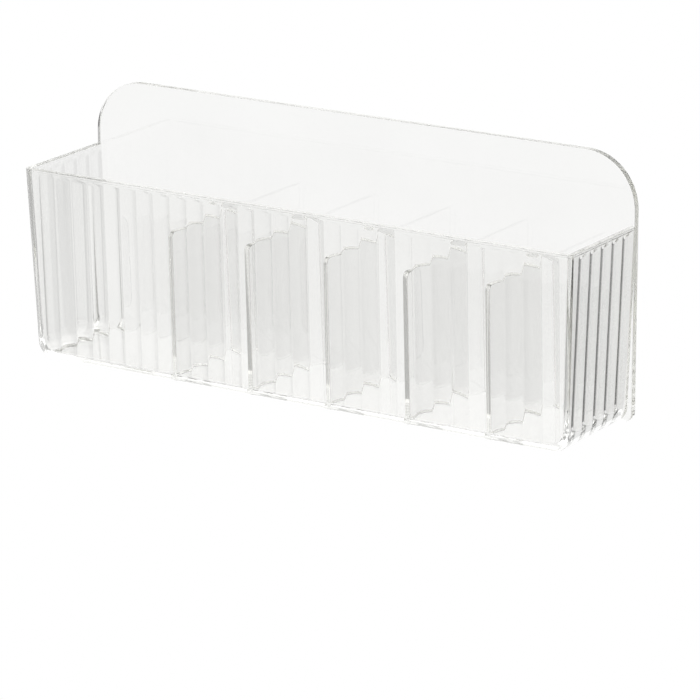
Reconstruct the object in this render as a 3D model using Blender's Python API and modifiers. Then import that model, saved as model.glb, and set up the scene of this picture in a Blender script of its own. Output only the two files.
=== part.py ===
# Clear wall-mounted storage box: a moulded tray with a tall back plate and reeded inner walls,
# lift-out dividers, and adhesive pads behind the plate. Metres, +Z up, +X along the box.
# The wall is on the +Y side and the origin is the middle of the footprint.
import math

import bmesh
import bpy

LENGTH = 0.190
DEPTH = 0.040
RIM_HEIGHT = 0.05925
WALL = 0.002
FLOOR = 0.0014
DRAFT = 0.0021
CORNER_RADIUS = 0.0015
INNER_CORNER_RADIUS = 0.0008
END_FILLET = 0.0045
FRONT_FILLET = 0.0026
RIM_RADIUS = 0.0003

PLATE_HEIGHT = 0.080
PLATE_THICKNESS = 0.0024
PLATE_SIDE_INSET = 0.0005
PLATE_TOP_RADIUS = 0.0165
PLATE_BOTTOM_RADIUS = 0.003
PLATE_EDGE_RADIUS = 0.0003

REED_PITCH = 0.0061
REED_RADIUS = 0.016
REED_MARGIN = 0.0025
REED_FADE = 0.0018
REED_FOOT = 0.0008
REED_FOOT_FADE = 0.002
LIP_HEIGHT = 0.0009
REED_SEGMENTS = 4

DIVIDER_COUNT = 5
DIVIDER_THICKNESS = 0.0016
DIVIDER_TOP = 0.046
DIVIDER_TOP_RADIUS = 0.002
DIVIDER_FOOT_RADIUS = 0.001
FIRST_CELL = 0.0492

GROOVE_DEPTH = 0.0008
CLEARANCE = 0.0003

PAD_WIDTH = 0.060
PAD_HEIGHT = 0.030
PAD_THICKNESS = 0.001
PAD_BOTTOM = 0.008
PAD_CORNER_RADIUS = 0.004
PAD_END_MARGIN = 0.012

ROUND_STEPS = 4
PLATE_ROUND_STEPS = 16
SMOOTH_ANGLE = math.radians(30)
SOFTENED_ANGLE = math.radians(60)
LEAST_STEP = 0.00001

# Planes along the depth, the cavity's half length, and the width of the dividers' grooves
FRONT_Y = -(DEPTH + CLEARANCE + PAD_THICKNESS) / 2
PLATE_BACK_Y = FRONT_Y + DEPTH
PLATE_FRONT_Y = PLATE_BACK_Y - PLATE_THICKNESS
PLATE_MIDDLE_Y = PLATE_BACK_Y - PLATE_THICKNESS / 2
INNER_HALF = LENGTH / 2 - WALL
GROOVE_WIDTH = DIVIDER_THICKNESS + 2 * CLEARANCE
DIVIDER_FOOT = FLOOR - GROOVE_DEPTH + CLEARANCE


def clear_scene():
    for old in list(bpy.data.objects):
        bpy.data.objects.remove(old, do_unlink=True)


def make_collection(name):
    collection = bpy.data.collections.new(name)
    bpy.context.scene.collection.children.link(collection)
    return collection


def make_material(name, colour, roughness, transmission, ior):
    material = bpy.data.materials.new(name)
    material.use_nodes = True
    shader = material.node_tree.nodes["Principled BSDF"]
    shader.inputs["Base Color"].default_value = (*colour, 1.0)
    shader.inputs["Roughness"].default_value = roughness
    shader.inputs["Metallic"].default_value = 0.0
    shader.inputs["Transmission Weight"].default_value = transmission
    shader.inputs["IOR"].default_value = ior
    return material


def finished_mesh(name, bm, material):
    mesh = bpy.data.meshes.new(name)
    bm.to_mesh(mesh)
    bm.free()
    mesh.shade_smooth()
    mesh.set_sharp_from_angle(angle=SMOOTH_ANGLE)
    mesh.materials.append(material)
    return mesh


def add_object(name, mesh, collection, place=(0.0, 0.0, 0.0)):
    obj = bpy.data.objects.new(name, mesh)
    obj.location = place
    collection.objects.link(obj)
    return obj


def add_tool(name, bm, collection):
    mesh = bpy.data.meshes.new(name)
    bm.to_mesh(mesh)
    bm.free()
    tool = add_object(name, mesh, collection)
    tool.hide_render = True
    tool.display_type = "WIRE"
    return tool


def box_mesh(low, high):
    bm = bmesh.new()
    bmesh.ops.create_cube(bm, size=1.0)
    for vert in bm.verts:
        for axis in range(3):
            vert.co[axis] = high[axis] if vert.co[axis] > 0 else low[axis]
    return bm


def edges_along(bm, axis, side_test):
    """Edges that run along one axis and whose middle passes the test."""
    found = []
    for edge in bm.edges:
        run = edge.verts[1].co - edge.verts[0].co
        middle = (edge.verts[0].co + edge.verts[1].co) / 2
        if abs(run[axis]) > 0.9 * run.length and side_test(middle):
            found.append(edge)
    return found


def round_edges(bm, edges, radius, steps):
    bmesh.ops.bevel(bm, geom=edges, offset=radius, segments=steps, profile=0.5, affect="EDGES")


def soften(obj, radius):
    bevel = obj.modifiers.new("soft_edges", "BEVEL")
    bevel.width = radius
    bevel.segments = 2
    bevel.limit_method = "ANGLE"
    bevel.angle_limit = SOFTENED_ANGLE


def repeat(obj, count, step):
    array = obj.modifiers.new("repeat", "ARRAY")
    array.count = count
    array.use_relative_offset = False
    array.use_constant_offset = True
    array.constant_offset_displace = (step, 0.0, 0.0)


def combine(obj, tool, operation):
    boolean = obj.modifiers.new(tool.name, "BOOLEAN")
    boolean.operation = operation
    boolean.solver = "EXACT"
    boolean.object = tool


def draft_at(z):
    """How far the front and end walls stand in from their place at the rim."""
    return DRAFT * (1 - z / RIM_HEIGHT)


def round_inset(height, radius):
    """How far a quarter round of this radius stands in, at a height above its foot."""
    if radius <= 0 or height >= radius:
        return 0.0
    return radius - math.sqrt(radius ** 2 - (radius - max(height, 0.0)) ** 2)


def corner_arc(x, y, radius, start):
    """Points of a quarter circle about (x, y), anticlockwise from the start angle in degrees."""
    angles = [math.radians(start + 90 * k / ROUND_STEPS) for k in range(ROUND_STEPS + 1)]
    return [(x + radius * math.cos(a), y + radius * math.sin(a)) for a in angles]


def shell_ring(z):
    """Outer outline of the box at one height, anticlockwise, open to the plate at the back."""
    edge = round_inset(RIM_HEIGHT - z, RIM_RADIUS)
    side = LENGTH / 2 - draft_at(z) - round_inset(z, END_FILLET) - edge
    front = FRONT_Y + draft_at(z) + round_inset(z, FRONT_FILLET) + edge
    reach = side - CORNER_RADIUS
    ring = [(-side, PLATE_MIDDLE_Y)]
    ring += corner_arc(-reach, front + CORNER_RADIUS, CORNER_RADIUS, 180)
    ring += corner_arc(reach, front + CORNER_RADIUS, CORNER_RADIUS, 270)
    ring.append((side, PLATE_MIDDLE_Y))
    return ring


def reed_bulge(across, pitch):
    """How far a reed stands out of its wall, at a distance across from its crest."""
    return math.sqrt(REED_RADIUS ** 2 - across ** 2) - math.sqrt(REED_RADIUS ** 2 - (pitch / 2) ** 2)


def reed_profile(span):
    """(distance along the wall, bulge) across a row of convex reeds that fills the span."""
    count = max(1, round(span / REED_PITCH))
    pitch = span / count
    points = [(0.0, 0.0)]
    for reed in range(count):
        for step in range(1, REED_SEGMENTS + 1):
            place = step / REED_SEGMENTS
            points.append(((reed + place) * pitch, reed_bulge((place - 0.5) * pitch, pitch)))
    return points


def reed_height(z):
    """Share of the reeds' full bulge: they fade out under the smooth lip and round off at the foot."""
    under_lip = (RIM_HEIGHT - LIP_HEIGHT - z) / REED_FADE
    under_lip = min(max(under_lip, 0.0), 1.0)
    over_foot = (z - FLOOR - REED_FOOT) / REED_FOOT_FADE
    over_foot = min(max(over_foot, 0.0), 1.0)
    return under_lip ** 2 * (3 - 2 * under_lip) * math.sqrt(over_foot * (2 - over_foot))


def kept_between(places, low, high):
    """The same places in the same order, moved in where they reach past either limit."""
    last = len(places)
    return [
        min(max(place, low + LEAST_STEP * (k + 1)), high - LEAST_STEP * (last - k))
        for k, place in enumerate(places)
    ]


def cavity_ring(z):
    """Inner outline at one height, with the reeds standing into it, run on past the plate's face."""
    flare = round_inset(RIM_HEIGHT - z, RIM_RADIUS) if z <= RIM_HEIGHT else RIM_RADIUS
    up = z - FLOOR
    side = INNER_HALF - draft_at(z) - round_inset(up, END_FILLET - WALL) + flare
    front = FRONT_Y + WALL + draft_at(z) + round_inset(up, FRONT_FILLET - FLOOR) - flare
    first = front + INNER_CORNER_RADIUS
    limit = side - INNER_CORNER_RADIUS
    height = reed_height(z)

    profile = reed_profile(PLATE_FRONT_Y - FRONT_Y - WALL - 2 * REED_MARGIN)
    start = FRONT_Y + WALL + REED_MARGIN
    places = kept_between([start + along for along, _ in profile], first, PLATE_FRONT_Y)
    end_wall = [
        (side - min(bulge * height, y - first), y) for y, (_, bulge) in zip(places, profile)
    ]

    span = 2 * (INNER_HALF - REED_MARGIN)
    profile = reed_profile(span)
    places = kept_between([along - span / 2 for along, _ in profile], -limit, limit)
    front_wall = [
        (x, front + min(bulge * height, limit - abs(x))) for x, (_, bulge) in zip(places, profile)
    ]

    ring = [(-side, PLATE_BACK_Y)]
    ring += [(-x, y) for x, y in reversed(end_wall)]
    ring += corner_arc(-limit, first, INNER_CORNER_RADIUS, 180)
    ring += front_wall
    ring += corner_arc(limit, first, INNER_CORNER_RADIUS, 270)
    ring += end_wall
    ring.append((side, PLATE_BACK_Y))
    return ring


def loft(heights, ring_at):
    """A closed solid through outlines that have the same number of points at each height."""
    bm = bmesh.new()
    loops = [[bm.verts.new((x, y, z)) for x, y in ring_at(z)] for z in heights]
    for lower, upper in zip(loops, loops[1:]):
        for k in range(len(lower)):
            following = (k + 1) % len(lower)
            bm.faces.new((lower[k], lower[following], upper[following], upper[k]))
    bm.faces.new(list(reversed(loops[0])))
    bm.faces.new(loops[-1])
    bmesh.ops.triangulate(bm, faces=[face for face in bm.faces if len(face.verts) == 4])
    bmesh.ops.recalc_face_normals(bm, faces=bm.faces)
    return bm


def round_heights(foot, radius):
    steps = [math.radians(90 * k / ROUND_STEPS) for k in range(ROUND_STEPS + 1)]
    return [foot + radius * (1 - math.cos(angle)) for angle in steps]


def rim_heights():
    return [RIM_HEIGHT - RIM_RADIUS * share for share in (1.0, 0.3, 0.0)]


def shell_heights():
    return round_heights(0.0, END_FILLET) + rim_heights()


def cavity_heights():
    foot = FLOOR + REED_FOOT
    lip = RIM_HEIGHT - LIP_HEIGHT
    heights = round_heights(FLOOR, END_FILLET - WALL)
    heights += [foot + REED_FOOT_FADE * share for share in (0.0, 0.15, 0.5, 1.0)]
    heights += [lip - REED_FADE * share for share in (1.0, 0.75, 0.5, 0.25, 0.0)]
    heights += rim_heights()
    heights.append(RIM_HEIGHT + WALL)
    return sorted(set(round(height, 7) for height in heights))


def divider_pitch():
    """Centre distance that makes the cells to the right of the wide first one alike."""
    return (INNER_HALF + DIVIDER_THICKNESS / 2 - first_divider_x()) / DIVIDER_COUNT


def first_divider_x():
    return -INNER_HALF + FIRST_CELL + DIVIDER_THICKNESS / 2


def divider_front(z):
    """The dividers' front edges lean with the wall and stand clear of the reeds."""
    return FRONT_Y + WALL + draft_at(z) + reed_bulge(0.0, REED_PITCH) + CLEARANCE


def make_plate(collection):
    half = LENGTH / 2 - PLATE_SIDE_INSET
    bm = box_mesh((-half, PLATE_FRONT_Y, 0.0), (half, PLATE_BACK_Y, PLATE_HEIGHT))
    top = edges_along(bm, 1, lambda middle: middle.z > PLATE_HEIGHT / 2)
    round_edges(bm, top, PLATE_TOP_RADIUS, PLATE_ROUND_STEPS)
    bottom = edges_along(bm, 1, lambda middle: middle.z < PLATE_HEIGHT / 4)
    round_edges(bm, bottom, PLATE_BOTTOM_RADIUS, ROUND_STEPS)
    plate = add_tool("plate_blank", bm, collection)
    soften(plate, PLATE_EDGE_RADIUS)
    return plate


def make_grooves(collection):
    """Shallow grooves across the floor, one under each divider. The plate closes their back ends."""
    left = first_divider_x() - GROOVE_WIDTH / 2
    low = (left, divider_front(0) - CLEARANCE, FLOOR - GROOVE_DEPTH)
    high = (left + GROOVE_WIDTH, PLATE_MIDDLE_Y, FLOOR + CLEARANCE)
    grooves = add_tool("floor_grooves", box_mesh(low, high), collection)
    repeat(grooves, DIVIDER_COUNT, divider_pitch())
    return grooves


def make_tray(collection, tools, material):
    shell = loft(shell_heights(), shell_ring)
    tray = add_object("tray", finished_mesh("tray", shell, material), collection)
    # The cavity runs past the shell's back, so that the plate closes the box with its own face
    combine(tray, add_tool("cavity", loft(cavity_heights(), cavity_ring), tools), "DIFFERENCE")
    combine(tray, make_grooves(tools), "DIFFERENCE")
    combine(tray, make_plate(tools), "UNION")


def make_dividers(collection, material):
    height = DIVIDER_TOP - DIVIDER_FOOT
    back = PLATE_FRONT_Y - CLEARANCE
    middle_y = (divider_front(DIVIDER_FOOT) + back) / 2
    half = DIVIDER_THICKNESS / 2
    bm = box_mesh((-half, 0.0, 0.0), (half, back - middle_y, height))
    for vert in bm.verts:
        if vert.co.y < (back - middle_y) / 2:
            vert.co.y = divider_front(vert.co.z + DIVIDER_FOOT) - middle_y
    top = edges_along(bm, 0, lambda middle: middle.z > height / 2)
    bottom = edges_along(bm, 0, lambda middle: middle.z < height / 2)
    round_edges(bm, top, DIVIDER_TOP_RADIUS, ROUND_STEPS)
    round_edges(bm, bottom, DIVIDER_FOOT_RADIUS, ROUND_STEPS)
    mesh = finished_mesh("divider", bm, material)
    for number in range(DIVIDER_COUNT):
        x = first_divider_x() + number * divider_pitch()
        add_object(f"divider_{number + 1}", mesh, collection, (x, middle_y, DIVIDER_FOOT))


def make_pads(collection, material):
    reach = LENGTH / 2 - PLATE_SIDE_INSET - PAD_END_MARGIN - PAD_WIDTH / 2
    low = (-PAD_WIDTH / 2, 0.0, 0.0)
    high = (PAD_WIDTH / 2, PAD_THICKNESS, PAD_HEIGHT)
    bm = box_mesh(low, high)
    round_edges(bm, edges_along(bm, 1, lambda middle: True), PAD_CORNER_RADIUS, ROUND_STEPS)
    mesh = finished_mesh("adhesive_pad", bm, material)
    for side, x in (("left", -reach), ("right", reach)):
        add_object(f"adhesive_pad_{side}", mesh, collection, (x, PLATE_BACK_Y + CLEARANCE, PAD_BOTTOM))


def main():
    clear_scene()
    parts = make_collection("wall_storage_box")
    tools = make_collection("cutters")
    clear_plastic = make_material("clear_plastic", (0.96, 0.98, 0.98), 0.03, 1.0, 1.57)
    divider_plastic = make_material("divider_plastic", (0.96, 0.98, 0.98), 0.03, 1.0, 1.57)
    pad_gel = make_material("pad_gel", (0.95, 0.96, 0.95), 0.15, 0.9, 1.45)
    make_tray(parts, tools, clear_plastic)
    make_dividers(parts, divider_plastic)
    make_pads(parts, pad_gel)


main()
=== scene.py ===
import math

import bpy
from mathutils import Matrix, Vector


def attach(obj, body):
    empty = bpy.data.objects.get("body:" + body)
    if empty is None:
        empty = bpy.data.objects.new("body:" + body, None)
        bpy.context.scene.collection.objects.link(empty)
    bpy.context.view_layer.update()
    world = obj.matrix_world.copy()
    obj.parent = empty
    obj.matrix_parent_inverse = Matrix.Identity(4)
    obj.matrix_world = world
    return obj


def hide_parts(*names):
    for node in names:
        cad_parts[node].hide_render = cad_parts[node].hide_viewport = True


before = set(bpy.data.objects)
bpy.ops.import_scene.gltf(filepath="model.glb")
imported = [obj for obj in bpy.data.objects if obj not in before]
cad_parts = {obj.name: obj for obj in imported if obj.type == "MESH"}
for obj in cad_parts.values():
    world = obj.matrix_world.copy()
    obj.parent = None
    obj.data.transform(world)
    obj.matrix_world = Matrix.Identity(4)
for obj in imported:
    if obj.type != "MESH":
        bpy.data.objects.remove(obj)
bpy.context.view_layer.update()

modelling = {
    "same": 0.000001, "apart": 0.00001,  # metres: still the same place, and clearly past it
    "weld": 0.000003, "straight": 0.9, "edgeSteps": 3, "crease": 28,
}


def toObject():
    bpy.ops.object.mode_set(mode="OBJECT")


def pickPiece(piece):
    if bpy.context.mode != "OBJECT":
        toObject()
    bpy.ops.object.select_all(action="DESELECT")
    piece.select_set(True)
    bpy.context.view_layer.objects.active = piece


def editAll(piece):
    # ends in edit mode with the whole mesh selected
    pickPiece(piece)
    bpy.ops.object.mode_set(mode="EDIT")
    bpy.ops.mesh.select_all(action="SELECT")


def startPiece(name, place, kind="cube"):
    bpy.ops.object.select_all(action="DESELECT")
    if kind == "cube":
        bpy.ops.mesh.primitive_cube_add(size=1, location=place)
    else:
        bpy.ops.mesh.primitive_plane_add(size=1, location=place)
    piece = bpy.context.active_object
    piece.name = name
    piece.data.name = name
    bpy.ops.object.transform_apply(location=True, rotation=True, scale=True)
    return piece


def boxPiece(name, low, high):
    # a cube stretched between two corners
    middle = [(a + b) / 2 for a, b in zip(low, high)]
    piece = startPiece(name, middle)
    editAll(piece)
    bpy.ops.transform.resize(value=[b - a for a, b in zip(low, high)], center_override=middle)
    toObject()
    return piece


def selectVerts(piece, test):
    # ends in edit mode with the vertices that pass the test selected
    pickPiece(piece)
    bpy.ops.object.mode_set(mode="EDIT")
    bpy.ops.mesh.select_mode(type="VERT")
    bpy.ops.mesh.select_all(action="DESELECT")
    toObject()
    for vert in piece.data.vertices:
        vert.select = test(vert.co)
    bpy.ops.object.mode_set(mode="EDIT")


def selectEdges(piece, test):
    # the test gets the middle of an edge and the direction it runs
    pickPiece(piece)
    bpy.ops.object.mode_set(mode="EDIT")
    bpy.ops.mesh.select_mode(type="EDGE")
    bpy.ops.mesh.select_all(action="DESELECT")
    toObject()
    verts = piece.data.vertices
    for edge in piece.data.edges:
        start, end = (verts[k].co for k in edge.vertices)
        edge.select = test((start + end) / 2, (end - start).normalized())
    bpy.ops.object.mode_set(mode="EDIT")


def alongX(run):
    return abs(run.x) > modelling["straight"]


def alongY(run):
    return abs(run.y) > modelling["straight"]


def bevelEdges(size, steps):
    bpy.ops.mesh.bevel(offset=size, segments=steps, affect="EDGES")


def finishModifier(piece, kind, settings):
    pickPiece(piece)
    bpy.ops.object.modifier_add(type=kind)
    modifier = piece.modifiers[-1]
    for key, value in settings.items():
        setattr(modifier, key, value)
    bpy.ops.object.modifier_apply(modifier=modifier.name)


def joinSolid(piece, tool, how):
    # each join is welded, so the next one starts from a clean skin
    finishModifier(piece, "BOOLEAN", {"object": tool, "operation": how, "solver": "EXACT"})
    bpy.data.objects.remove(tool, do_unlink=True)
    editAll(piece)
    bpy.ops.mesh.remove_doubles(threshold=modelling["weld"])
    toObject()


def repeatAlongX(piece, count, step, merge=False):
    finishModifier(piece, "ARRAY", {
        "count": count, "use_relative_offset": False, "use_constant_offset": True,
        "constant_offset_displace": (step, 0, 0), "use_merge_vertices": merge,
        "merge_threshold": modelling["same"],
    })


def faceOut(piece):
    editAll(piece)
    bpy.ops.mesh.normals_make_consistent(inside=False)
    toObject()


def polish(piece):
    # moulded surfaces shade smooth, true corners stay crisp
    pickPiece(piece)
    bpy.ops.object.shade_smooth_by_angle(angle=math.radians(modelling["crease"]))
    finishModifier(piece, "WEIGHTED_NORMAL", {"keep_sharp": True, "weight": 100})


class Wire:
    # a number inside a shader: sums and products of wires add their own Math nodes
    def __init__(self, paint, socket):
        self.paint = paint
        self.socket = socket

    def maths(self, how, first, second):
        return self.paint.node("ShaderNodeMath", {"operation": how}, {0: first, 1: second})

    def __add__(self, other):
        return self.maths("ADD", self, other)

    def __radd__(self, other):
        return self.maths("ADD", other, self)

    def __sub__(self, other):
        return self.maths("SUBTRACT", self, other)

    def __rsub__(self, other):
        return self.maths("SUBTRACT", other, self)

    def __mul__(self, other):
        return self.maths("MULTIPLY", self, other)

    def __rmul__(self, other):
        return self.maths("MULTIPLY", other, self)


class Paint:
    # a node tree being filled
    def __init__(self, tree):
        self.tree = tree

    def node(self, kind, settings=None, sockets=None, out=0):
        made = self.tree.nodes.new(kind)
        for key, value in (settings or {}).items():
            if key == "stops":
                for spot, (place, colour) in zip(made.color_ramp.elements, value):
                    spot.position = place
                    spot.color = colour
            else:
                setattr(made, key, value)
        for key, value in (sockets or {}).items():
            self.fill(made.inputs[key], value)
        return Wire(self, made.outputs[out])

    def fill(self, socket, value):
        if isinstance(value, Wire):
            self.tree.links.new(value.socket, socket)
        else:
            socket.default_value = value

    def noise(self, place, grain):
        # a grain is the noise's scale and detail
        scale, detail = grain
        return self.node("ShaderNodeTexNoise", {}, {"Vector": place, "Scale": scale, "Detail": detail})

    def blend(self, clouds, deep, tint):
        # from the deep colour to the lighter one across the middle of the noise
        return self.node("ShaderNodeValToRGB", {"stops": [(0.3, deep), (0.7, tint)]}, {"Fac": clouds})

    def softStep(self, value, low, high, start, end):
        # goes softly from start to end while the value goes from low to high
        return self.node("ShaderNodeMapRange", {"interpolation_type": "SMOOTHSTEP"}, {
            "Value": value, "From Min": low, "From Max": high, "To Min": start, "To Max": end})


def newFinish(name):
    material = bpy.data.materials.new(name)
    material.use_nodes = True
    shader = material.node_tree.nodes["Principled BSDF"]
    return material, shader, Paint(material.node_tree)


def wear(piece, material):
    piece.data.materials.clear()
    piece.data.materials.append(material)


clearLook = {
    "ior": 1.57, "tint": (0.95, 0.95, 0.942, 1), "deep": (0.92, 0.92, 0.912, 1), "clouds": (22, 3),
    "haze": 0.012, "hazeSpread": 0.02, "specks": (160, 2),
    "waves": 0.00002, "waveStrength": 0.3, "flow": (45, 1),
    "soak": (0.5, 0.5, 0.42, 1), "density": 3,  # what the plastic takes from light on its way through
}

dividerLook = {"tint": (0.998, 0.998, 0.997, 1), "deep": (0.988, 0.988, 0.986, 1), "density": 6}


def clearFinish(name, look):
    # moulded clear plastic: a faint uneven tint, a little haze and slow flow waves
    material, shader, paint = newFinish(name)
    place = paint.node("ShaderNodeTexCoord", out="Object")
    clouds = paint.noise(place, look["clouds"])
    tint = paint.blend(clouds, look["deep"], look["tint"])
    specks = paint.noise(place, look["specks"])
    flow = paint.noise(place, look["flow"])
    bump = paint.node("ShaderNodeBump", {}, {
        "Strength": look["waveStrength"], "Distance": look["waves"], "Height": flow})
    paint.fill(shader.inputs["Base Color"], tint)
    paint.fill(shader.inputs["Roughness"], look["haze"] + look["hazeSpread"] * specks)
    paint.fill(shader.inputs["Normal"], bump)
    shader.inputs["IOR"].default_value = look["ior"]
    shader.inputs["Transmission Weight"].default_value = 1.0
    soak = paint.node("ShaderNodeVolumeAbsorption", {}, {"Color": look["soak"], "Density": look["density"]})
    paint.fill(material.node_tree.nodes["Material Output"].inputs["Volume"], soak)
    return material


gelLook = {
    "ior": 1.45, "tint": (0.985, 0.985, 0.98, 1), "deep": (0.96, 0.96, 0.955, 1), "clouds": (70, 3),
    "alpha": 0.16, "alphaSpread": 0.1, "rough": 0.1, "roughSpread": 0.1, "specks": (260, 2),
    "bumps": 0.00002, "bumpStrength": 0.2,
}


def gelFinish():
    # thin clear gel, nearly unseen, a little uneven where it has been handled
    material, shader, paint = newFinish("padGel")
    place = paint.node("ShaderNodeTexCoord", out="Object")
    clouds = paint.noise(place, gelLook["clouds"])
    tint = paint.blend(clouds, gelLook["deep"], gelLook["tint"])
    specks = paint.noise(place, gelLook["specks"])
    bump = paint.node("ShaderNodeBump", {}, {
        "Strength": gelLook["bumpStrength"], "Distance": gelLook["bumps"], "Height": specks})
    paint.fill(shader.inputs["Base Color"], tint)
    paint.fill(shader.inputs["Roughness"], gelLook["rough"] + gelLook["roughSpread"] * specks)
    paint.fill(shader.inputs["Alpha"], gelLook["alpha"] + gelLook["alphaSpread"] * (clouds - 0.5))
    paint.fill(shader.inputs["Normal"], bump)
    shader.inputs["IOR"].default_value = gelLook["ior"]
    shader.inputs["Transmission Weight"].default_value = 1.0
    return material


tray = {
    "length": 0.190, "frontY": -0.02065, "rim": 0.05925, "wall": 0.002, "floor": 0.0014, "draft": 0.0021,
    "plateFrontY": 0.01695, "plateBackY": 0.01935,
    "endRound": 0.0045, "frontRound": 0.0008,  # the outer bottom edges
    "endInnerRound": 0.0045, "frontInnerRound": 0.0006, "roundSteps": 16,
    "cornerRound": 0.0015, "innerCornerRound": 0.0003, "cornerSteps": 6,
    "rimRound": 0.0003, "rimSteps": 3,
}

reeds = {
    "pitch": 0.0061, "radius": 0.016, "steps": 12,
    "margin": 0.0025, "endFront": 0.0034, "endBack": 0.0005,  # bare strips beside the rows
    "lip": 0.0009, "fade": 0.0018, "fadeShares": (1, 0.85, 0.7, 0.55, 0.4, 0.25, 0.1, 0),
    "leastShare": 0.01,
    "setBack": 0.0005, "sunk": 0.00008, "inWall": 0.0006,  # how the rows sink into what they join
}


def plateMiddleY():
    return (tray["plateFrontY"] + tray["plateBackY"]) / 2


def leanAt(z):
    # how far the moulded walls stand in from their place at the rim
    return tray["draft"] * (1 - z / tray["rim"])


def quarterInset(height, radius):
    # how far a rounded foot stands in at a height over its lowest point
    if height >= radius:
        return 0.0
    return radius - math.sqrt(radius ** 2 - (radius - max(height, 0.0)) ** 2)


def roundLevels(foot, radius, steps):
    return [foot + radius * (1 - math.cos(math.pi / 2 * k / steps)) for k in range(steps + 1)]


def rimLevels():
    radius, steps = tray["rimRound"], tray["rimSteps"]
    return [tray["rim"] - radius + radius * math.sin(math.pi / 2 * k / steps) for k in range(steps + 1)]


def shellSide(z):
    return (tray["length"] / 2 - leanAt(z) - quarterInset(z, tray["endRound"])
            - quarterInset(tray["rim"] - z, tray["rimRound"]))


def shellFront(z):
    return (tray["frontY"] + leanAt(z) + quarterInset(z, tray["frontRound"])
            + quarterInset(tray["rim"] - z, tray["rimRound"]))


def setBack(z):
    # under the lip the bare walls stand back, and the reeded skins fill the gap
    return reeds["setBack"] if z < tray["rim"] - reeds["lip"] - modelling["same"] else 0.0


def cavitySide(z):
    flare = quarterInset(tray["rim"] - z, tray["rimRound"])
    inset = quarterInset(z - tray["floor"], tray["endInnerRound"])
    return tray["length"] / 2 - tray["wall"] - leanAt(z) - inset + flare + setBack(z)


def cavityFront(z):
    flare = quarterInset(tray["rim"] - z, tray["rimRound"])
    inset = quarterInset(z - tray["floor"], tray["frontInnerRound"])
    return tray["frontY"] + tray["wall"] + leanAt(z) + inset - flare - setBack(z)


def raisedBlock(name, levels, sideAt, frontAt, backY, cornerRound):
    # a rounded footprint, drawn up level by level while it follows the lean and the fillets
    z = levels[0]
    side, front = sideAt(z), frontAt(z)
    middle = (0, (front + backY) / 2, z)
    block = startPiece(name, middle, kind="plane")
    editAll(block)
    bpy.ops.transform.resize(value=(2 * side, backY - front, 1), center_override=middle)
    selectVerts(block, lambda co: co.y < middle[1])
    bpy.ops.mesh.bevel(offset=cornerRound, segments=tray["cornerSteps"], affect="VERTICES")
    bpy.ops.mesh.select_all(action="SELECT")
    for level in levels[1:]:
        newSide, newFront = sideAt(level), frontAt(level)
        bpy.ops.mesh.extrude_region_move(TRANSFORM_OT_translate={"value": (0, 0, level - z)})
        bpy.ops.transform.resize(value=(newSide / side, (backY - newFront) / (backY - front), 1),
                                 center_override=(0, backY, level))
        z, side, front = level, newSide, newFront
    toObject()
    faceOut(block)
    return block


def reedShare(z):
    # the reeds' bulge as a share: it fades out under the lip
    up = min(max((tray["rim"] - reeds["lip"] - z) / reeds["fade"], 0.0), 1.0)
    return max(up * up * (3 - 2 * up), reeds["leastShare"])


def reedLevels(spare):
    # from just under the floor up the fillet, and up under the lip
    foot = roundLevels(tray["floor"], tray["endInnerRound"], tray["roundSteps"])
    foot[0] -= spare * reeds["sunk"]
    lip = tray["rim"] - reeds["lip"]
    fade = [lip - reeds["fade"] * share for share in reeds["fadeShares"]]
    return foot + fade + [lip + spare * reeds["sunk"]]


def reedBulge(pitch):
    return reeds["radius"] - math.sqrt(reeds["radius"] ** 2 - (pitch / 2) ** 2)


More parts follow.
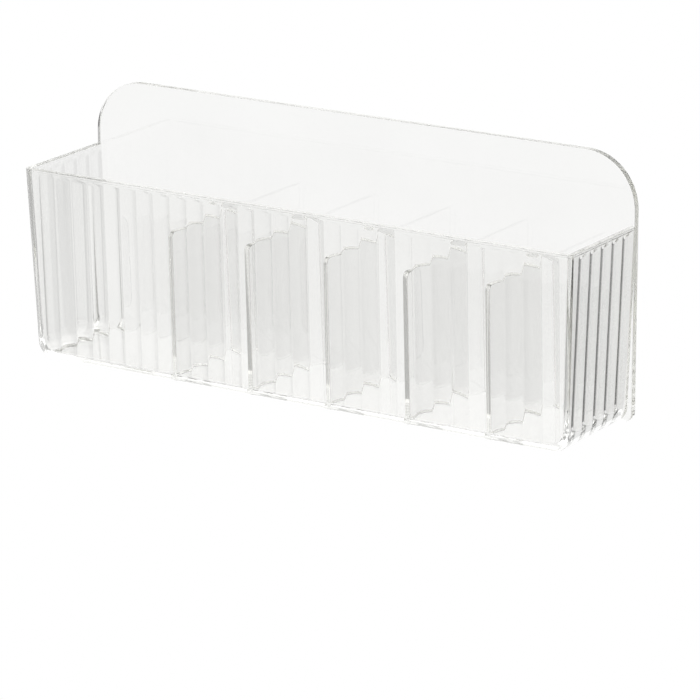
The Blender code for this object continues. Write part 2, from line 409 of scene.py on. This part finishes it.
def reedRow(name, span, footRound, lowEnd, highEnd, spare=1.0):
    # the skin stands along X with its face at y = 0 at the rim,
    # bulges to +Y and follows the lean and the fillet
    def faceAt(z):
        return leanAt(z) + quarterInset(z - tray["floor"], footRound)

    same, apart = modelling["same"], modelling["apart"]
    count = round(span / reeds["pitch"])
    pitch = span / count
    levels = reedLevels(spare)
    z = levels[0]
    row = startPiece(name, (0, 0, z), kind="plane")
    editAll(row)
    bpy.ops.mesh.merge(type="CENTER")
    bpy.ops.transform.translate(value=(-span / 2, 0, 0))
    bpy.ops.mesh.spin(steps=reeds["steps"], angle=2 * math.asin(pitch / 2 / reeds["radius"]),
                      center=((pitch - span) / 2, reedBulge(pitch) - reeds["radius"], z), axis=(0, 0, 1))
    toObject()
    repeatAlongX(row, count, pitch, merge=True)
    # flat margins run on into the walls and the plate
    edge = span / 2
    for side, end in ((-1, lowEnd), (1, highEnd)):
        selectVerts(row, lambda co: co.x * side > edge - same)
        bpy.ops.mesh.extrude_vertices_move(TRANSFORM_OT_translate={"value": (end(z) - side * edge, 0, 0)})
    # the flat back lies in the middle of the wall
    share, back = reedShare(z), -tray["wall"] / 2
    selectVerts(row, lambda co: True)
    bpy.ops.mesh.extrude_region_move(TRANSFORM_OT_translate={"value": (0, back, 0)})
    bpy.ops.transform.resize(value=(1, 0, 1), center_override=(0, back, z))
    selectVerts(row, lambda co: co.y > back / 2)
    bpy.ops.transform.resize(value=(1, share, 1), center_override=(0, 0, z))
    bpy.ops.mesh.select_all(action="SELECT")
    bpy.ops.transform.translate(value=(0, faceAt(z), 0))
    for level in levels[1:]:
        newShare, face = reedShare(level), faceAt(level)
        bpy.ops.mesh.extrude_region_move(TRANSFORM_OT_translate={"value": (0, face - faceAt(z), level - z)})
        selectVerts(row, lambda co: co.z > level - same and co.y > face + back / 2)
        bpy.ops.transform.resize(value=(1, newShare / share, 1), center_override=(0, face, level))
        for side, end in ((-1, lowEnd), (1, highEnd)):
            selectVerts(row, lambda co: co.z > level - same and co.x * side > edge + apart)
            bpy.ops.transform.translate(value=(end(level) - end(z), 0, 0))
        selectVerts(row, lambda co: co.z > level - same)
        z, share = level, newShare
    # the top sinks in under the lip
    selectVerts(row, lambda co: co.z > levels[-2] - same and co.y > faceAt(co.z) + back / 2)
    bpy.ops.transform.translate(value=(0, -reeds["sunk"], 0))
    toObject()
    faceOut(row)
    return row


def turnRow(row, degrees):
    editAll(row)
    bpy.ops.transform.rotate(value=math.radians(degrees), orient_axis="Z", center_override=(0, 0, 0))
    toObject()


def moveRow(row, place):
    editAll(row)
    bpy.ops.transform.translate(value=place)
    toObject()


def reedRows():
    # one row inside the front wall and one inside each end wall
    innerHalf = tray["length"] / 2 - tray["wall"]
    frontFace = tray["frontY"] + tray["wall"]
    lowY, highY = frontFace + reeds["endFront"], tray["plateFrontY"] - reeds["endBack"]
    middleY = (lowY + highY) / 2

    def sideEnd(z):
        return shellSide(z) - reeds["inWall"]

    def frontEnd(z):
        return middleY - shellFront(z) - reeds["inWall"]

    def plateEnd(z):
        return tray["plateFrontY"] + reeds["inWall"] - middleY

    front = reedRow("frontReeds", 2 * (innerHalf - reeds["margin"]), tray["frontInnerRound"],
                    lambda z: -sideEnd(z), sideEnd)
    moveRow(front, (0, frontFace, 0))
    rows = [front]
    for side, turn, lowEnd, highEnd in ((-1, 90, lambda z: -plateEnd(z), frontEnd),
                                        (1, -90, lambda z: -frontEnd(z), plateEnd)):
        row = reedRow("endReeds", highY - lowY, tray["endInnerRound"], lowEnd, highEnd, spare=1.4)
        turnRow(row, turn)
        moveRow(row, (side * innerHalf, middleY, 0))
        rows.append(row)
    return rows


plate = {
    "height": 0.080, "inset": 0.0005, "topRound": 0.0165, "bottomRound": 0.003, "edgeRound": 0.0003,
    "topSteps": 28, "bottomSteps": 8,
}


def backPlate():
    half, halfHeight = tray["length"] / 2 - plate["inset"], plate["height"] / 2
    piece = boxPiece("plate", (-half, tray["plateFrontY"], 0), (half, tray["plateBackY"], plate["height"]))
    selectEdges(piece, lambda middle, run: alongY(run) and middle.z > halfHeight)
    bevelEdges(plate["topRound"], plate["topSteps"])
    selectEdges(piece, lambda middle, run: alongY(run) and middle.z < halfHeight)
    bevelEdges(plate["bottomRound"], plate["bottomSteps"])
    selectEdges(piece, lambda middle, run: not alongY(run))
    bevelEdges(plate["edgeRound"], modelling["edgeSteps"])
    toObject()
    faceOut(piece)
    return piece


dividers = {
    "count": 5, "thick": 0.0016, "top": 0.046, "topRound": 0.002, "footRound": 0.001, "roundSteps": 8,
    "firstCell": 0.0492, "gap": 0.0003, "grooveDeep": 0.0008, "edge": 0.00015,
}


def dividerPlaces():
    # one wide cell at the left, the rest shared out evenly
    innerHalf = tray["length"] / 2 - tray["wall"]
    first = -innerHalf + dividers["firstCell"] + dividers["thick"] / 2
    pitch = (innerHalf + dividers["thick"] / 2 - first) / dividers["count"]
    return [first + pitch * k for k in range(dividers["count"])]


def dividerFront(z):
    # the front edge leans with the wall and clears the reeds
    return tray["frontY"] + tray["wall"] + leanAt(z) + reedBulge(reeds["pitch"]) + dividers["gap"]


def floorGrooves():
    # a shallow groove across the floor under each divider
    places = dividerPlaces()
    half = dividers["thick"] / 2 + dividers["gap"]
    low = (places[0] - half, dividerFront(0) - dividers["gap"], tray["floor"] - dividers["grooveDeep"])
    high = (places[0] + half, plateMiddleY(), tray["floor"] + dividers["gap"])
    grooves = boxPiece("grooves", low, high)
    repeatAlongX(grooves, dividers["count"], places[1] - places[0])
    return grooves


def makeTray():
    shellZ = roundLevels(0, tray["endRound"], tray["roundSteps"]) + rimLevels()
    piece = raisedBlock("storageTray", shellZ, shellSide, shellFront, plateMiddleY(), tray["cornerRound"])
    lip = tray["rim"] - reeds["lip"]
    cavityZ = roundLevels(tray["floor"], tray["endInnerRound"], tray["roundSteps"])
    cavityZ += [lip - reeds["sunk"] / 2, lip] + rimLevels() + [tray["rim"] + tray["wall"]]
    cavity = raisedBlock("cavity", cavityZ, cavitySide, cavityFront, tray["plateBackY"],
                         tray["innerCornerRound"])
    joinSolid(piece, cavity, "DIFFERENCE")
    for row in reedRows():
        joinSolid(piece, row, "UNION")
    joinSolid(piece, floorGrooves(), "DIFFERENCE")
    joinSolid(piece, backPlate(), "UNION")
    return piece


def makeDivider(number, x):
    low, high = tray["floor"] - dividers["grooveDeep"] + dividers["gap"], dividers["top"]
    back = tray["plateFrontY"] - dividers["gap"]
    half = dividers["thick"] / 2
    piece = boxPiece("clearDivider%d" % number, (x - half, 0, low), (x + half, back, high))
    for z in (low, high):
        selectVerts(piece, lambda co: abs(co.z - z) < modelling["same"] and co.y < back / 2)
        bpy.ops.transform.translate(value=(0, dividerFront(z), 0))
    selectEdges(piece, lambda middle, run: alongX(run) and middle.z > high - modelling["apart"])
    bevelEdges(dividers["topRound"], dividers["roundSteps"])
    selectEdges(piece, lambda middle, run: alongX(run) and middle.z < low + modelling["apart"])
    bevelEdges(dividers["footRound"], dividers["roundSteps"])
    selectEdges(piece, lambda middle, run: not alongX(run))
    bevelEdges(dividers["edge"], modelling["edgeSteps"])
    toObject()
    faceOut(piece)
    return piece


pads = {
    "wide": 0.060, "high": 0.030, "thick": 0.001, "bottom": 0.008, "cornerRound": 0.004, "cornerSteps": 10,
    "endMargin": 0.012, "gap": 0.0003, "edge": 0.0002,
}


def makePad(name, x):
    low = (x - pads["wide"] / 2, tray["plateBackY"] + pads["gap"], pads["bottom"])
    high = (x + pads["wide"] / 2, low[1] + pads["thick"], pads["bottom"] + pads["high"])
    piece = boxPiece(name, low, high)
    selectEdges(piece, lambda middle, run: alongY(run))
    bevelEdges(pads["cornerRound"], pads["cornerSteps"])
    selectEdges(piece, lambda middle, run: not alongY(run))
    bevelEdges(pads["edge"], modelling["edgeSteps"])
    toObject()
    faceOut(piece)
    return piece


view = {
    "place": (0.658, -1.02405, 0.3764), "turn": 0.5652, "down": 0.29117, "roll": -0.002146,
    "focal": 4264.5, "pixels": 700, "sensor": 36, "near": 0.01, "far": 100,
}


def makeCamera():
    turn, down = view["turn"], view["down"]
    ahead = Vector((-math.sin(turn) * math.cos(down), math.cos(turn) * math.cos(down), -math.sin(down)))
    right = Vector((math.cos(turn), math.sin(turn), 0))
    up = right.cross(ahead)
    cosRoll, sinRoll = math.cos(view["roll"]), math.sin(view["roll"])
    across = cosRoll * right + sinRoll * up
    upright = cosRoll * up - sinRoll * right
    lens = bpy.data.cameras.new("photoCamera")
    lens.sensor_width = view["sensor"]
    lens.lens = view["focal"] / view["pixels"] * view["sensor"]
    lens.clip_start, lens.clip_end = view["near"], view["far"]
    camera = bpy.data.objects.new("photoCamera", lens)
    pose = Matrix((across, upright, -ahead)).transposed().to_4x4()
    pose.translation = view["place"]
    camera.matrix_world = pose
    bpy.context.scene.collection.objects.link(camera)
    bpy.context.scene.camera = camera


room = {
    "drop": 0.6, "half": 1.0, "edge": 0.02, "rough": 0.7,
    "white": (0.9, 0.9, 0.895, 1), "shade": (0.86, 0.86, 0.855, 1), "clouds": (6, 4),
}


def makeFloor():
    # a plain pale floor well below the box, which hangs on its wall;
    # it is white where the camera or the clear plastic sees it
    half = room["half"]
    floor = boxPiece("floor", (-half, -half, -room["drop"] - room["edge"]), (half, half, -room["drop"]))
    material, shader, paint = newFinish("paleFloor")
    place = paint.node("ShaderNodeTexCoord", out="Object")
    tone = paint.blend(paint.noise(place, room["clouds"]), room["shade"], room["white"])
    paint.fill(shader.inputs["Base Color"], tone)
    shader.inputs["Roughness"].default_value = room["rough"]
    glow = paint.node("ShaderNodeEmission", {}, {"Color": (1, 1, 1, 1), "Strength": 1.0})
    camera = paint.node("ShaderNodeLightPath", out="Is Camera Ray")
    through = paint.node("ShaderNodeLightPath", out="Is Transmission Ray")
    painted = Wire(paint, shader.outputs["BSDF"])
    mixed = paint.node("ShaderNodeMixShader", {}, {0: camera + through, 1: painted, 2: glow})
    paint.fill(material.node_tree.nodes["Material Output"].inputs["Surface"], mixed)
    wear(floor, material)


light = {
    "level": 1.0, "over": 1.5, "overFrom": 6, "overTo": 30, "bounces": 100,
    "cards": [  # upright strips around the box, in degrees, and how bright each is
        {"turn": 28, "half": 10, "soft": 8, "top": -19, "fade": 4, "level": 0.28},
        {"turn": 32, "half": 25, "soft": 15, "top": 12, "fade": 10, "level": 0.5},
        {"turn": -62, "half": 9, "soft": 7, "top": 12, "fade": 12, "level": 0.8},
        {"turn": -47, "half": 4, "soft": 5, "top": 12, "fade": 12, "level": 0.9},
        {"turn": -4, "half": 8, "soft": 8, "top": 12, "fade": 12, "level": 0.6},
        {"turn": -125, "half": 9, "soft": 9, "top": 12, "fade": 12, "level": 0.8},
    ],
}


def makeLight():
    # a plain white world, brighter overhead, with dark strips around, and white to the camera itself
    world = bpy.data.worlds.new("softStudio")
    bpy.context.scene.world = world
    world.use_nodes = True
    paint = Paint(world.node_tree)
    background = world.node_tree.nodes["Background"]
    way = paint.node("ShaderNodeTexCoord", out="Generated")

    def along(first, second):
        product = {"operation": "DOT_PRODUCT"}
        return paint.node("ShaderNodeVectorMath", product, {0: first, 1: second}, out="Value")

    up = along(way, (0, 0, 1))
    low, high = (math.sin(math.radians(light[key])) for key in ("overFrom", "overTo"))
    level = paint.softStep(up, low, high, light["level"], light["over"])
    flat = paint.node("ShaderNodeVectorMath", {"operation": "MULTIPLY"}, {0: way, 1: (1, 1, 0)})
    around = paint.node("ShaderNodeVectorMath", {"operation": "NORMALIZE"}, {0: flat})
    for card in light["cards"]:
        turn, half, soft = (math.radians(card[key]) for key in ("turn", "half", "soft"))
        facing = along(around, (math.sin(turn), math.cos(turn), 0))
        strip = paint.softStep(facing, math.cos(half + soft), math.cos(half), 0.0, 1 - card["level"])
        top, clear = (math.sin(math.radians(angle)) for angle in (card["top"], card["top"] + card["fade"]))
        below = paint.softStep(up, top, clear, 1.0, 0.0)
        level = level * (1 - strip * below)
    seen = paint.node("ShaderNodeLightPath", out="Is Camera Ray")
    paint.fill(background.inputs["Strength"], seen + (1 - seen) * level)
    background.inputs["Color"].default_value = (1, 1, 1, 1)


makeCamera()
print("camera placed")
clearPlastic = clearFinish("clearPlastic", clearLook)
dividerPlastic = clearFinish("dividerPlastic", {**clearLook, **dividerLook})
padGel = gelFinish()
print("finishes made")

trayPiece = makeTray()
polish(trayPiece)
wear(trayPiece, clearPlastic)
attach(trayPiece, "box")
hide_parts("tray")
print("tray made", len(trayPiece.data.polygons))

for number, x in enumerate(dividerPlaces(), 1):
    piece = makeDivider(number, x)
    polish(piece)
    wear(piece, dividerPlastic)
    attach(piece, "divider_%d" % number)
    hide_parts("divider_%d" % number)
print("dividers made")

padX = tray["length"] / 2 - plate["inset"] - pads["endMargin"] - pads["wide"] / 2
for side, x in (("left", -padX), ("right", padX)):
    piece = makePad("gelPad" + side.capitalize(), x)
    polish(piece)
    wear(piece, padGel)
    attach(piece, "box")
    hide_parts("adhesive_pad_" + side)
print("pads made")

makeFloor()
makeLight()
scene = bpy.context.scene
scene.cycles.max_bounces = light["bounces"]
scene.cycles.glossy_bounces = light["bounces"]
scene.cycles.transmission_bounces = light["bounces"]
scene.view_settings.view_transform = "Standard"
print("light made")
